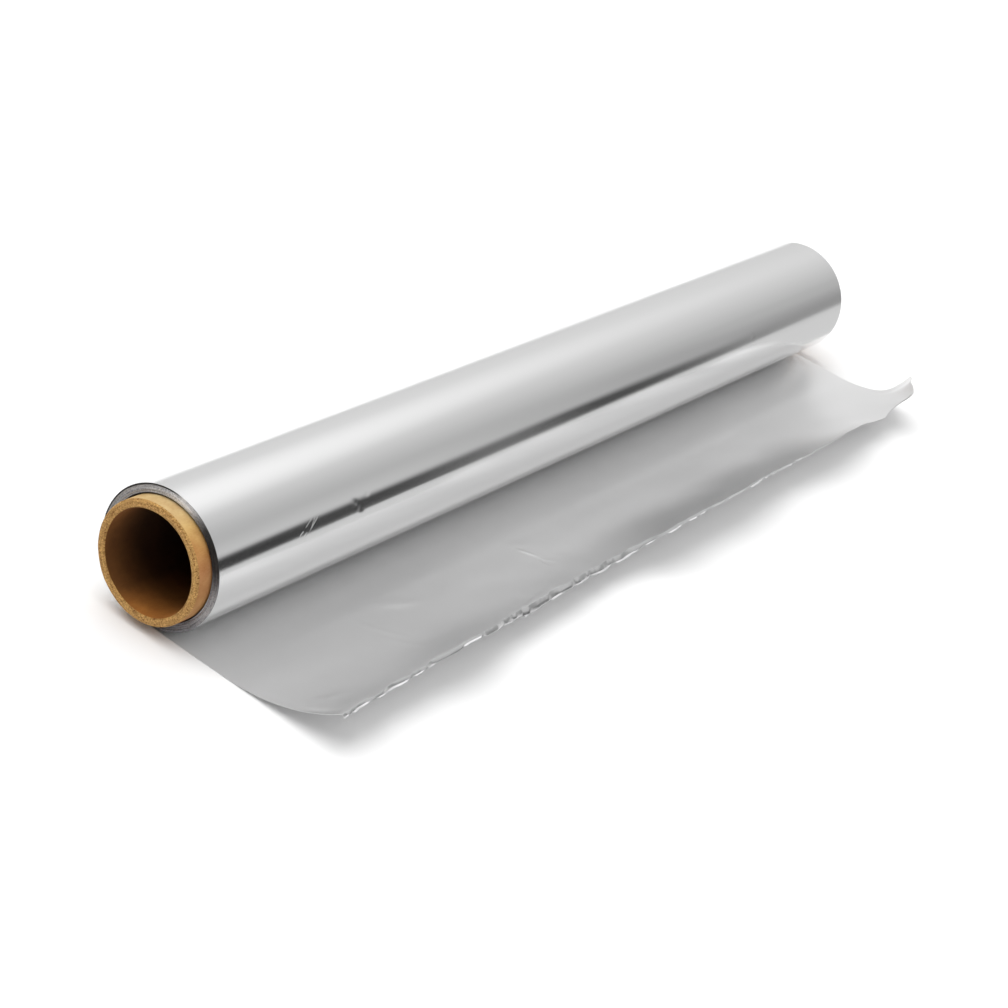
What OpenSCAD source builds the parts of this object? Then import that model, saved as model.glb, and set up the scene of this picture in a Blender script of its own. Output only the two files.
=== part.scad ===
/* [Core] */
// Inside diameter of the cardboard core
core_bore_d = 25.4; // [20:0.1:38]
// Thickness of the core's glued plies
core_wall = 2; // [1.2:0.1:4]
// How far the core stands out of the foil at each end
core_proud = 4.3; // [0.5:0.1:12]
// Rounding of the core's outer edge, where the knife pressed it
core_outer_round = 0.7; // [0.2:0.05:1]
// Rounding of the core's inner edge
core_inner_round = 0.4; // [0.1:0.05:0.6]

/* [Wound foil] */
// Width of the foil, along the roll
foil_w = 300; // [150:1:450]
// Thickness of all the turns together
wound_t = 2.45; // [1:0.05:15]
// Clearance between the core and the first turn
core_gap = 0.05; // [0.02:0.01:0.2]
// Number of bands into which the edges of the turns gather at each end
edge_bands = 11; // [3:1:16]
// Most that a band of edges lies behind the end of the roll
edge_step = 0.22; // [0.05:0.01:0.4]
// Depth of the flat spot that the roll rests on
flat_spot = 0.1; // [0.05:0.01:0.3]

/* [Loose sheet] */
// Thickness of the loose sheet
sheet_t = 0.3; // [0.2:0.05:0.6]
// Length of the sheet past the roll's lowest line, at the left end
sheet_left = 56.5; // [50:0.5:80]
// Length of the sheet past the roll's lowest line, at the right end
sheet_right = 54; // [50:0.5:80]
// Length that lies flat before the curl starts, at the left end
flat_left = 24.5; // [10:0.5:30]
// Length that lies flat before the curl starts, at the right end
flat_right = 26; // [10:0.5:30]
// Radius of the upward curl, at the left end
curl_r_left = 54; // [35:1:200]
// Radius of the upward curl, at the right end
curl_r_right = 37; // [25:1:200]
// Share by which the curl tightens and opens along the roll
curl_wave = 0.08; // [0:0.01:0.2]

/* [Turned-up corner] */
// How far along the roll the turned-up right corner reaches
corner_w = 13.7; // [8:0.1:50]
// How far in from the torn edge the turned-up corner reaches
corner_len = 15.9; // [6:0.1:20]
// Angle by which the corner is turned up
corner_angle = 24; // [0:1:60]
// How far the corner's tip is rounded back
tip_round = 2.6; // [0:0.1:6]
// Length along the roll over which the tip is rounded back
tip_w = 4; // [2:0.5:10]
// Share by which the curl opens in the hollow left of the corner
hollow = 0.3; // [0:0.05:0.5]
// Distance of the hollow's middle from the right end
hollow_in = 27; // [15:1:60]
// Half of the hollow's width along the roll
hollow_w = 13; // [6:1:30]

/* [Torn edge] */
// Distance between the points of the torn edge
tear_pitch = 4; // [3:0.5:12]
// Most that the tear strays from a straight line
tear_depth = 1.6; // [0.2:0.1:2.5]
// How far the torn edge bulges out beside the corner
bulge = 3; // [0:0.1:5]
// Distance of the bulge's middle from the right end
bulge_in = 11; // [8:0.5:30]
// Half of the bulge's width along the roll
bulge_w = 5.6; // [3:0.1:20]
// Width of the crumpled lip along the torn edge
lip_w = 1.4; // [0.8:0.1:3]
// Most that the lip is bent back down
lip_angle = 48; // [0:1:70]

/* [Hidden] */
core_bore_r = core_bore_d / 2;
core_r = core_bore_r + core_wall;
core_len = foil_w + 2 * core_proud;
wound_bore_r = core_r + core_gap;
roll_r = wound_bore_r + wound_t;
floor_z = flat_spot - roll_r;
// The block that cuts the flat spot is this much larger than the roll all round
cut_margin = 5;

// Rows of facets across the curl and across the lip, and columns along the roll
curl_rows = 11;
lip_rows = 2;
tear_points = ceil(foil_w / tear_pitch);
// Facets round a revolved outline
round_fn = 96;
// Wavelengths along the roll, longest first, of the curl's slow swell, of the tear's wander
// and of the lip's crumple
swell_lengths = [118, 47];
tear_lengths = [190, 31, 13.7, 8.9];
lip_lengths = [57, 21, 9.3];

// Value between a at t = 0 and b at t = 1
function blend(a, b, t) = a + (b - a) * t;
// Rises smoothly from 0 to 1 while t goes from 0 to 1
function ease(t) = let(u = min(1, max(0, t))) u * u * (3 - 2 * u);
// Place along the roll, 0 at the left end and 1 at the right end
function along(x) = x / foil_w + 0.5;
// Uneven wave along the roll, between -1 and 1: sines of the given wavelengths, of which
// each next one counts for less
function ripple(x, lengths) =
    let(n = len(lengths),
        weights = [for (i = [1:n]) 1 / i],
        sines = [for (i = [0:n - 1]) sin(360 * x / lengths[i] + 97 * i * i + 40)])
    (sines * weights) / (weights * [for (w = weights) 1]);

// Bell of height 1 at a distance from the right end, low again a half width to each side
function bell(x, distance_in, half_w) = exp(-pow((x - foil_w / 2 + distance_in) / half_w, 2));

// Length of the sheet from the roll's lowest line to the torn edge
function sheet_len(x) =
    blend(sheet_left, sheet_right, along(x)) + tear_depth * ripple(x, tear_lengths)
    + bulge * bell(x, bulge_in, bulge_w) - tip_round * ease((x - foil_w / 2 + tip_w) / tip_w);
function flat_len(x) = blend(flat_left, flat_right, along(x));
// Curvature of the curl, in radians for each millimetre of sheet
function curl(x) =
    blend(1 / curl_r_left, 1 / curl_r_right, along(x))
    * (1 + curl_wave * ripple(x, swell_lengths)) * (1 - hollow * bell(x, hollow_in, hollow_w));
// How much the turned-up corner counts at a place along the roll, from 0 to 1
function corner(x) = ease((x - foil_w / 2 + corner_w) / corner_w);
// Angle by which the lip is bent back down, which the turned-up corner takes away
function lip_bend(x) = lip_angle * (0.6 + 0.4 * ripple(x, lip_lengths)) * (1 - corner(x));

// Angle of the sheet above the floor, s millimetres out from the roll's lowest line
function slope(x, s) =
    let(to_edge = sheet_len(x) - s)
    max(0, s - flat_len(x)) * curl(x) * 180 / PI
    + corner_angle * corner(x) * ease(1.5 * (1 - to_edge / corner_len))
    - lip_bend(x) * (to_edge < lip_w ? 1 : 0);

// Distances out along the sheet at which a column has its points
function stations(x) =
    let(start = flat_len(x), end = sheet_len(x), lip = end - lip_w)
    [0, start,
     for (i = [1:curl_rows]) blend(start, lip, i / curl_rows),
     for (i = [1:lip_rows]) blend(lip, end, i / lip_rows)];

// The sheet's lower face in one column: [distance from the roll, height, slope] at each
// station, found by walking out along the sheet at its slope
function column(x) =
    let(s = stations(x))
    [for (i = 0, out = 0, up = 0, a = 0;
          i < len(s);
          step = i + 1 < len(s) ? s[i + 1] - s[i] : 0,
          a = i + 1 < len(s) ? slope(x, s[i] + step / 2) : a,
          out = out + step * cos(a),
          up = up + step * sin(a),
          i = i + 1)
     [out, up, a]];

// Outline of half of the wound foil, revolved: its outer and inner walls, and at each end
// the edges of the turns, gathered in bands that lie slightly in or out
function band_depth(i) = edge_step * (0.5 + 0.5 * sin(137.5 * i + 60));
function band_r(i) = blend(wound_bore_r, roll_r, i / edge_bands);
function end_steps(side) =
    [for (i = [0:edge_bands - 1], r = [band_r(i), band_r(i + 1)])
     [r, side * (foil_w / 2 - band_depth(i))]];
function reversed(list) = [for (i = [len(list) - 1:-1:0]) list[i]];

module core_outline() {
    half = core_len / 2;
    outer = min(core_outer_round, core_wall / 2);
    inner = min(core_inner_round, core_wall / 3);
    intersection() {
        translate([core_bore_r, -half]) square([core_wall, core_len]);
        union() {
            translate([core_bore_r, inner - half]) square([core_wall, core_len - 2 * inner]);
            for (side = [-1, 1])
                translate([core_bore_r + inner, side * (half - inner)]) circle(inner, $fn = 32);
            translate([core_bore_r + inner, -half]) square([core_wall - inner, core_len]);
        }
        union() {
            translate([core_bore_r, outer - half]) square([core_wall, core_len - 2 * outer]);
            for (side = [-1, 1])
                translate([core_r - outer, side * (half - outer)]) circle(outer, $fn = 32);
            translate([core_bore_r, -half]) square([core_wall - outer, core_len]);
        }
    }
}

// Cardboard tube that the foil is wound on, its plies glued into one piece
module core() {
    color("burlywood")
    rotate([0, 90, 0])
    rotate_extrude($fn = round_fn) core_outline();
}

// All the turns on the core, with the flat spot that they rest on
module wound_roll() {
    reach = roll_r + cut_margin;
    difference() {
        rotate([0, 90, 0])
        rotate_extrude($fn = round_fn)
        polygon(concat(end_steps(-1), reversed(end_steps(1))));
        translate([-foil_w / 2 - cut_margin, -reach, floor_z - reach])
        cube([foil_w + 2 * cut_margin, 2 * reach, reach]);
    }
}

// The last length of foil, still part of the outer turn: it leaves the roll along the
// floor, curls up towards its torn edge and is turned up at the right corner
module loose_sheet() {
    half = foil_w / 2;
    xs = [for (i = [0:tear_points]) blend(-half, half, i / tear_points)];
    columns = [for (x = xs) column(x)];
    rows = len(columns[0]);
    under = [for (i = [0:tear_points], p = columns[i]) [xs[i], -p[0], floor_z + p[1]]];
    over = [for (i = [0:tear_points], p = columns[i])
            [xs[i], sheet_t * sin(p[2]) - p[0], floor_z + p[1] + sheet_t * cos(p[2])]];
    above = len(under);
    function at(i, j) = i * rows + j;
    skin = [
        for (i = [0:tear_points - 1], j = [0:rows - 2])
            let(a = at(i, j), b = at(i + 1, j), c = at(i + 1, j + 1), d = at(i, j + 1))
            each [[a, c, b], [a, d, c], [above + a, above + b, above + c], [above + a, above + c, above + d]]
    ];
    root_and_tear = [
        for (i = [0:tear_points - 1], j = [0, rows - 1])
            let(a = at(i, j), b = at(i + 1, j))
            each j == 0
                ? [[a, above + b, above + a], [a, b, above + b]]
                : [[a, above + a, above + b], [a, above + b, b]]
    ];
    sides = [
        for (i = [0, tear_points], j = [0:rows - 2])
            let(a = at(i, j), d = at(i, j + 1))
            each i == 0
                ? [[a, above + a, above + d], [a, above + d, d]]
                : [[a, above + d, above + a], [a, d, above + d]]
    ];
    polyhedron(concat(under, over), concat(skin, root_and_tear, sides));
}

// The foil, wound and loose, in one continuous piece
module foil() {
    color("silver")
    union() {
        wound_roll();
        loose_sheet();
    }
}

core();
foil();
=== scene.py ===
"""A roll of aluminium foil on its paperboard core: the looks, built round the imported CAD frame.

The foil is wound bright side out, and its last length lies loose in front of the roll, matte
side up, curling to a torn edge. Lengths in the classes are millimetres, angles are degrees, and
a mesh is turned to metres when it is made. The roll's axis is X, its resting plane faces -Z.
"""

import logging
import math
from dataclasses import dataclass
from enum import Enum
from typing import Any, Sequence

import bpy
import numpy as np
from mathutils import Matrix, Vector


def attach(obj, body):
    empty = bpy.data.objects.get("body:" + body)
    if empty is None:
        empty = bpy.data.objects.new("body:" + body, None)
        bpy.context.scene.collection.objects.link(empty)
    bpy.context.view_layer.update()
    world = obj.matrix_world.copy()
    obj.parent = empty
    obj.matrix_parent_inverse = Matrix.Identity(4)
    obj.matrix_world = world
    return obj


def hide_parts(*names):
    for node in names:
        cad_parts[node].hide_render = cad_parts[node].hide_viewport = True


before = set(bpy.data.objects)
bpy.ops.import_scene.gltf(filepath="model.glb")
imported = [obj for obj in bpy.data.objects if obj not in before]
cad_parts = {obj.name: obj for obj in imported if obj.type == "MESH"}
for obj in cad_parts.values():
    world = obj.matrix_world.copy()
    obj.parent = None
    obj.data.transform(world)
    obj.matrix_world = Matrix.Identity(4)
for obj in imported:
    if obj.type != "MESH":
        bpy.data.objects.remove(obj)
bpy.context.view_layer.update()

LOG = logging.getLogger("foil_roll")

MM = 0.001
TURN = 2.0 * math.pi
# Points closer together than this, in millimetres, become one
WELD = 1e-5
# Number of random heights after which a cloud repeats
LATTICE = 64
SHARP_ANGLE = 38.0
# Points at which the density of a line's stations is added up, and the share of a dense stretch
# over which its density fades at each end
LINE_POINTS = 8001
DENSE_FADE = 0.15
# Cosine of an angle from straight down at which the roll is far above its resting plane
REST_COSINE = 0.5
UV_MAP = "Surface"
PRINCIPLED = "ShaderNodeBsdfPrincipled"
WHITE = (1.0, 1.0, 1.0, 1.0)
BOARD_IOR = 1.47
# Values between which most of a noise lies
NOISE_RANGE = (0.3, 0.7)
# Painted shade round the core's inner wall, by angle: greys that its colour is multiplied by
INNER_PAINTED_SHADE = ((0.0, "#FFFFFF"), (90.0, "#E0E0E0"), (150.0, "#D0D0D0"), (180.0, "#AEAEAE"),
               (210.0, "#A2A2A2"), (240.0, "#A8A8A8"), (258.0, "#E8E8E8"), (272.0, "#FFFFFF"),
               (360.0, "#FFFFFF"))

Array = np.ndarray
Colour = tuple[float, float, float, float]
Pair = tuple[float, float]
Place = tuple[float, float, float]
Tones = tuple[tuple[float, str], ...]
Tree = bpy.types.NodeTree
Socket = bpy.types.NodeSocket
Material = bpy.types.Material


class Slot(Enum):
    """The record's material slots."""

    FOIL = "foil"
    BOARD = "core_board"


class End(Enum):
    """The two ends of the roll, with the sign of their X."""

    LEFT = -1
    RIGHT = 1


def srgb(code: str) -> Colour:
    """Turns a colour written as sRGB hex into linear light.

    Args:
        code: six hex digits, with or without a leading #.

    Returns:
        Red, green and blue as linear values, and an alpha of 1.
    """
    digits = code.lstrip("#")
    levels = [int(digits[i:i + 2], 16) / 255.0 for i in (0, 2, 4)]
    linear = [v / 12.92 if v <= 0.04045 else ((v + 0.055) / 1.055) ** 2.4 for v in levels]
    return (linear[0], linear[1], linear[2], 1.0)


def smooth(t: Array) -> Array:
    """Rises from 0 to 1 as 3t^2 - 2t^3 while t goes from 0 to 1, and is level outside."""
    u = np.clip(t, 0.0, 1.0)
    return u * u * (3.0 - 2.0 * u)


def blend(a: Any, b: Any, t: Any) -> Any:
    """Value between a at t = 0 and b at t = 1."""
    return a + (b - a) * t


def ripple(x: Array, lengths: Sequence[float]) -> Array:
    """Uneven wave along the roll, as in the part's own source.

    Sines of the given wavelengths are added, each next one counting for less (1, 1/2, 1/3),
    with starting angles 97 i^2 + 40 degrees, and the sum is divided by the weights' total.

    Args:
        x: places along the roll, in millimetres.
        lengths: wavelengths in millimetres, longest first.

    Returns:
        A value between -1 and 1 for each place.
    """
    weights = [1.0 / (i + 1) for i in range(len(lengths))]
    starts = [math.radians(97.0 * i * i + 40.0) for i in range(len(lengths))]
    waves = [w * np.sin(TURN * x / length + start)
             for w, length, start in zip(weights, lengths, starts)]
    return sum(waves) / sum(weights)


def grid(*parts: Any) -> Array:
    """Joins coordinates that broadcast to one grid, as its last axis."""
    return np.stack(np.broadcast_arrays(*parts), axis=-1)


def on_roll(x: Array, r: Any, phi: Array) -> Array:
    """Points at distance r from the roll's axis: (x, -r cos phi, r sin phi)."""
    return grid(x, -r * np.cos(phi), r * np.sin(phi))


@dataclass(frozen=True)
class Cloud:
    """Smooth uneven field over one or two coordinates.

    Seeded random heights stand on a lattice and are joined by smooth steps. Each next octave is
    twice as fine and half as high.

    Attributes:
        seed: seed of the heights.
        u_step: distance between heights along the first coordinate.
        v_step: distance between heights along the second coordinate.
        per_turn: where this is given, the second coordinate counts turns, and the field has this
            many heights in a turn and closes on itself.
        octaves: number of octaves.
        height: value that the field reaches about, up and down.
    """

    seed: int
    u_step: float = 1.0
    v_step: float = 1.0
    per_turn: int = 0
    octaves: int = 1
    height: float = 1.0

    def at(self, u: Any, v: Any = 0.0, other: int = 0) -> Array:
        """Values of the field.

        Args:
            u: first coordinate.
            v: second coordinate.
            other: number added to the seed, for another field of the same kind.

        Returns:
            Values between about -height and height, of the shape that u and v broadcast to.
        """
        rng = np.random.default_rng(self.seed + other)
        u = u / self.u_step
        v = v * self.per_turn if self.per_turn else v / self.v_step
        total = np.zeros(np.broadcast(u, v).shape)
        for octave in range(self.octaves):
            finer = 2 ** octave
            heights = rng.uniform(-1.0, 1.0, (LATTICE, LATTICE * finer))
            period = (self.per_turn or LATTICE) * finer
            p, q = np.broadcast_arrays(u * finer, v * finer)
            i = np.floor(p).astype(int)
            j = np.floor(q).astype(int)
            s = smooth(p - i)
            i0, i1 = (k % LATTICE for k in (i, i + 1))
            j0, j1 = ((k % period) % heights.shape[1] for k in (j, j + 1))
            near = blend(heights[i0, j0], heights[i1, j0], s)
            far = blend(heights[i0, j1], heights[i1, j1], s)
            total = total + blend(near, far, smooth(q - j)) / finer
        return self.height * total

    def share(self, u: Any, v: Any = 0.0, other: int = 0) -> Array:
        """The field moved up to run from about 0 to 1 where its height is 1."""
        return 0.5 + 0.5 * self.at(u, v, other)


def stations(start: float, end: float, pitch: float,
             dense: Sequence[Place] = ()) -> Array:
    """Places along a line, closer together where more detail is wanted.

    The wanted density of places is added up along the line, and the places divide that sum
    evenly.

    Args:
        start: first place.
        end: last place.
        pitch: spacing where nothing else is asked.
        dense: stretches as (from, to, pitch there).

    Returns:
        The places in rising order, first and last included.
    """
    line = np.linspace(start, end, LINE_POINTS)
    density = np.full(line.shape, 1.0 / pitch)
    for low, high, fine in dense:
        soft = DENSE_FADE * (high - low)
        window = smooth((line - low) / soft + 1.0) * smooth((high - line) / soft + 1.0)
        density = np.maximum(density, window / fine)
    steps = np.concatenate([[0.0], np.cumsum((density[1:] + density[:-1]) / 2.0 * np.diff(line))])
    count = int(math.ceil(steps[-1]))
    return np.interp(np.linspace(0.0, steps[-1], count + 1), steps, line)


@dataclass
class Patch:
    """Part of a surface, as a grid of points worked out as whole arrays.

    Attributes:
        points: places in millimetres, of shape (rows, columns, 3). Seen from outside, rows go
            right where columns go up, unless flip is set.
        uv: the surface's own coordinates in millimetres, of shape (rows, columns, 2).
        finish: index of the patch's material.
        flip: turns the faces over.
    """

    points: Array
    uv: Array
    finish: int = 0
    flip: bool = False

    def quads(self, first: int) -> Array:
        """Corner indices of the patch's faces, counted from the given first point."""
        rows, columns = self.points.shape[:2]
        index = first + np.arange(rows * columns).reshape(rows, columns)
        corners = [index[:-1, :-1], index[1:, :-1], index[1:, 1:], index[:-1, 1:]]
        faces = np.stack(corners, axis=-1).reshape(-1, 4)
        return faces[:, ::-1] if self.flip else faces


def make_piece(name: str, patches: Sequence[Patch], finishes: Sequence[Material],
               node: str) -> bpy.types.Object:
    """Joins patches into one closed mesh and puts it in the CAD frame.

    Points of different patches that fall on the same place become one, so the seams close. Edges
    sharper than SHARP_ANGLE stay crisp. The UV map keeps real distances, in metres.

    Args:
        name: the piece's name.
        patches: its surfaces.
        finishes: the materials that the patches' indices count.
        node: the CAD node that the piece stands for.

    Returns:
        The new object, riding on the root body.
    """
    points = np.concatenate([p.points.reshape(-1, 3) for p in patches])
    uv = np.concatenate([p.uv.reshape(-1, 2) for p in patches])
    sizes = [p.points.shape[0] * p.points.shape[1] for p in patches]
    firsts = np.concatenate([[0], np.cumsum(sizes)[:-1]])
    grids = [p.quads(int(first)) for p, first in zip(patches, firsts)]
    quads = np.concatenate(grids)
    finish = np.concatenate([np.full(len(g), p.finish) for g, p in zip(grids, patches)])

    keys = np.round(points / WELD).astype(np.int64)
    _, kept, merged = np.unique(keys, axis=0, return_index=True, return_inverse=True)
    corners = merged.reshape(-1)[quads]

    mesh = bpy.data.meshes.new(name)
    mesh.from_pydata((points[kept] * MM).tolist(), [], corners.tolist())
    for material in finishes:
        mesh.materials.append(material)
    mesh.polygons.foreach_set("material_index", finish.astype(np.int32))
    layer = mesh.uv_layers.new(name=UV_MAP)
    layer.data.foreach_set("uv", (uv[quads] * MM).astype(np.float32).ravel())
    mesh.shade_smooth()
    mesh.set_sharp_from_angle(angle=math.radians(SHARP_ANGLE))
    mesh.update()

    piece = bpy.data.objects.new(name, mesh)
    bpy.context.scene.collection.objects.link(piece)
    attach(piece, "root")
    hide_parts(node)
    LOG.info("%s: %d faces on %s", name, len(quads), node)
    return piece


def add_node(tree: Tree, kind: str, settings: dict[str, Any] | None = None,
             sockets: dict[str | int, Any] | None = None) -> bpy.types.Node:
    """Adds a shader node with its settings, values and links.

    Args:
        tree: the node tree.
        kind: the node's type.
        settings: its properties.
        sockets: for each input, by name or number, a value or another node's output.

    Returns:
        The new node.
    """
    made = tree.nodes.new(kind)
    for key, value in (settings or {}).items():
        setattr(made, key, value)
    for key, value in (sockets or {}).items():
        if isinstance(value, bpy.types.NodeSocket):
            tree.links.new(value, made.inputs[key])
        else:
            made.inputs[key].default_value = value
    return made


def calc(tree: Tree, operation: str, *values: Any) -> Socket:
    """Adds a sum on numbers or other nodes' outputs and gives its result."""
    node = add_node(tree, "ShaderNodeMath", {"operation": operation}, dict(enumerate(values)))
    return node.outputs[0]


def remap(tree: Tree, value: Socket, start: tuple[Any, Any], goal: tuple[Any, Any] = (0.0, 1.0),
          soft: bool = False) -> Socket:
    """Carries a value from its own range over to another one, easing in and out if soft.

    Args:
        tree: the node tree.
        value: what is carried over, held at the ends of the range.
        start: its own range.
        goal: the other range.
        soft: whether it eases.

    Returns:
        The new value.
    """
    settings = {"interpolation_type": "SMOOTHSTEP"} if soft else None
    return add_node(tree, "ShaderNodeMapRange", settings, {
        "Value": value, "From Min": start[0], "From Max": start[1], "To Min": goal[0],
        "To Max": goal[1]}).outputs[0]


def stretch(tree: Tree, uv: Socket, u_size: float, v_size: float) -> Socket:
    """Counts a place on the surface in steps of these sizes, in millimetres, along u and v."""
    return add_node(tree, "ShaderNodeVectorMath", {"operation": "MULTIPLY"}, {
        0: uv, 1: (1.0 / (u_size * MM), 1.0 / (v_size * MM), 1.0)}).outputs[0]


def noise(tree: Tree, place: Socket, size: float | None = None, detail: float = 2.0,
          roughness: float = 0.5, distortion: float = 0.0) -> Socket:
    """Adds a noise over a surface.

    Args:
        tree: the node tree.
        place: place on the surface.
        size: size of the grains in millimetres, unless the place is counted in grains.
        detail: number of octaves.
        roughness: how much each finer octave counts.
        distortion: how far the noise is pulled about.

    Returns:
        Values mostly inside NOISE_RANGE.
    """
    return add_node(tree, "ShaderNodeTexNoise", {"noise_dimensions": "2D"}, {
        "Vector": place, "Scale": 1.0 / (size * MM) if size else 1.0, "Detail": detail,
        "Roughness": roughness, "Distortion": distortion}).outputs["Fac"]


def spread(tree: Tree, grains: Socket, middle: float, width: float) -> Socket:
    """Carries a noise over to values about the middle, as far apart as the width."""
    return remap(tree, grains, NOISE_RANGE, (middle - width / 2.0, middle + width / 2.0))


def mix(tree: Tree, share: Any, first: Any, second: Any, way: str = "MIX") -> Socket:
    """Mixes two colours: the second one counts by the share."""
    return add_node(tree, "ShaderNodeMix", {"data_type": "RGBA", "blend_type": way}, {
        0: share, 6: first, 7: second}).outputs[2]


def bump(tree: Tree, height: Any, distance: float, under: Socket | None = None,
         strength: float = 1.0) -> Socket:
    """Adds a relief.

    Args:
        tree: the node tree.
        height: its height as a share.
        distance: what a height of 1 stands for, in millimetres.
        under: normal of a coarser relief that this one lies on.
        strength: how much the relief counts.

    Returns:
        The normal.
    """
    below = {} if under is None else {"Normal": under}
    return add_node(tree, "ShaderNodeBump", None, {
        "Height": height, "Distance": distance * MM, "Strength": strength,
        **below}).outputs["Normal"]


def add_ramp(tree: Tree, factor: Socket, light_and_shade: Tones) -> Socket:
    """Adds a colour ramp once round the roll, for painted light and shade by angle.

    Args:
        tree: the node tree.
        factor: share of a turn.
        light_and_shade: angles in degrees, each with its painted grey or tint as sRGB hex.

    Returns:
        The ramp's colour.
    """
    ramp = add_node(tree, "ShaderNodeValToRGB", None, {0: factor})
    stops = [(angle / 360.0, srgb(code)) for angle, code in light_and_shade]
    elements = ramp.color_ramp.elements
    elements[0].position, elements[0].color = stops[0]
    elements[1].position, elements[1].color = stops[-1]
    for place, colour in stops[1:-1]:
        elements.new(place).color = colour
    return ramp.outputs["Color"]


def new_material(name: str) -> tuple[Material, Tree]:
    """An empty node material and its tree."""
    material = bpy.data.materials.new(name)
    material.use_nodes = True
    material.node_tree.nodes.clear()
    return material, material.node_tree


def new_finish(name: str) -> tuple[Material, Tree, Socket]:
    """An empty material, its tree, and the place on the piece's own UV map in metres."""
    material, tree = new_material(name)
    return material, tree, add_node(tree, "ShaderNodeUVMap", {"uv_map": UV_MAP}).outputs["UV"]


def end_material(tree: Tree, kind: str, sockets: dict[str | int, Any]) -> None:
    """Adds the shader of a material and joins it to the output."""
    shader = add_node(tree, kind, None, sockets)
    add_node(tree, "ShaderNodeOutputMaterial", None, {"Surface": shader.outputs[0]})


def end_metal(tree: Tree, colour: str, sockets: dict[str | int, Any]) -> None:
    """Ends a rolled metal's material, whose highlights are pulled along the UV map's u."""
    tangent = add_node(tree, "ShaderNodeTangent", {"direction_type": "UV_MAP", "uv_map": UV_MAP})
    end_material(tree, PRINCIPLED, {
        "Base Color": srgb(colour), "Tangent": tangent.outputs["Tangent"], **sockets})


@dataclass(frozen=True)
class Scratch:
    """A fine scratch on the roll.

    Attributes:
        start: first end, as x in millimetres and the angle round the roll.
        end: other end.
        width: its width.
        taper: share of its half length at which it starts to fade.
    """

    start: Pair
    end: Pair
    width: float
    taper: float = 0.35

    def build(self, tree: Tree, uv: Socket, radius: float) -> Socket:
        """Makes its mask: 1 along its line, 0 from its width away and past its ends.

        Args:
            tree: the node tree.
            uv: the surface's own coordinates in metres.
            radius: radius of the roll in millimetres.

        Returns:
            The mask.
        """
        first, last = ((x, math.radians(angle) * radius) for x, angle in (self.start, self.end))
        run = (last[0] - first[0], last[1] - first[1])
        length = math.hypot(*run)
        middle = ((first[0] + last[0]) / 2.0 * MM, (first[1] + last[1]) / 2.0 * MM, 0.0)
        moved = add_node(tree, "ShaderNodeVectorMath", {"operation": "SUBTRACT"}, {0: uv, 1: middle})
        masks = []
        for way, reach, taper in ((run, length / 2.0, self.taper),
                                  ((-run[1], run[0]), self.width / 2.0, 0.0)):
            distance = add_node(tree, "ShaderNodeVectorMath", {"operation": "DOT_PRODUCT"}, {
                0: moved.outputs[0], 1: (way[0] / length, way[1] / length, 0.0)})
            aside = calc(tree, "ABSOLUTE", distance.outputs["Value"])
            masks.append(remap(tree, aside, (reach * MM, taper * reach * MM), soft=True))
        return calc(tree, "MULTIPLY", *masks)


@dataclass(frozen=True)
class BrightFoil:
    """Aluminium foil, the bright side: rolled against polished steel and annealed.

    The eye gets a near mirror. The mill's fine lines run along the web, so reflections are
    drawn out along the roll and stay crisp round it. Handling leaves a few fine scratches.
    """

    colour: str = "#F0F0F0"
    roughness: float = 0.15
    roughness_spread: float = 0.05
    pull: float = 0.65
    streak_length: float = 55.0
    streak_width: float = 1.4
    scratches: tuple[Scratch, ...] = (
        Scratch((-119.1, 21.0), (-114.5, 31.6), 0.26),
        Scratch((-122.4, 20.9), (-120.5, 23.8), 0.34),
        Scratch((-121.5, 18.1), (-119.3, 22.3), 0.20),
        Scratch((-120.3, 24.8), (-116.9, 31.5), 0.16),
        Scratch((-118.1, 24.0), (-115.6, 32.2), 0.16),
    )
    scratch_roughness: float = 0.26
    scratch_height: float = 0.02
    handling_size: float = 0.9
    handling_height: float = 0.0006

    def build(self, radius: float) -> Material:
        """Makes the material.

        Args:
            radius: radius of the roll, for the places of the scratches on its surface.

        Returns:
            The material. It reads the piece's own UV map, which holds real distances.
        """
        material, tree, uv = new_finish("bright foil, rolled")
        lines = stretch(tree, uv, self.streak_length, self.streak_width)
        streaks = noise(tree, lines, detail=3.0, roughness=0.6)
        roughness = spread(tree, streaks, self.roughness, self.roughness_spread)
        handling = bump(tree, noise(tree, uv, self.handling_size), self.handling_height)
        marks: Any = 0.0
        for scratch in self.scratches:
            marks = calc(tree, "MAXIMUM", scratch.build(tree, uv, radius), marks)
        end_metal(tree, self.colour, {
            "Metallic": 1.0, "Anisotropic": self.pull,
            "Roughness": calc(tree, "MULTIPLY_ADD", marks, self.scratch_roughness, roughness),
            "Normal": bump(tree, marks, self.scratch_height, handling)})
        return material


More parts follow.
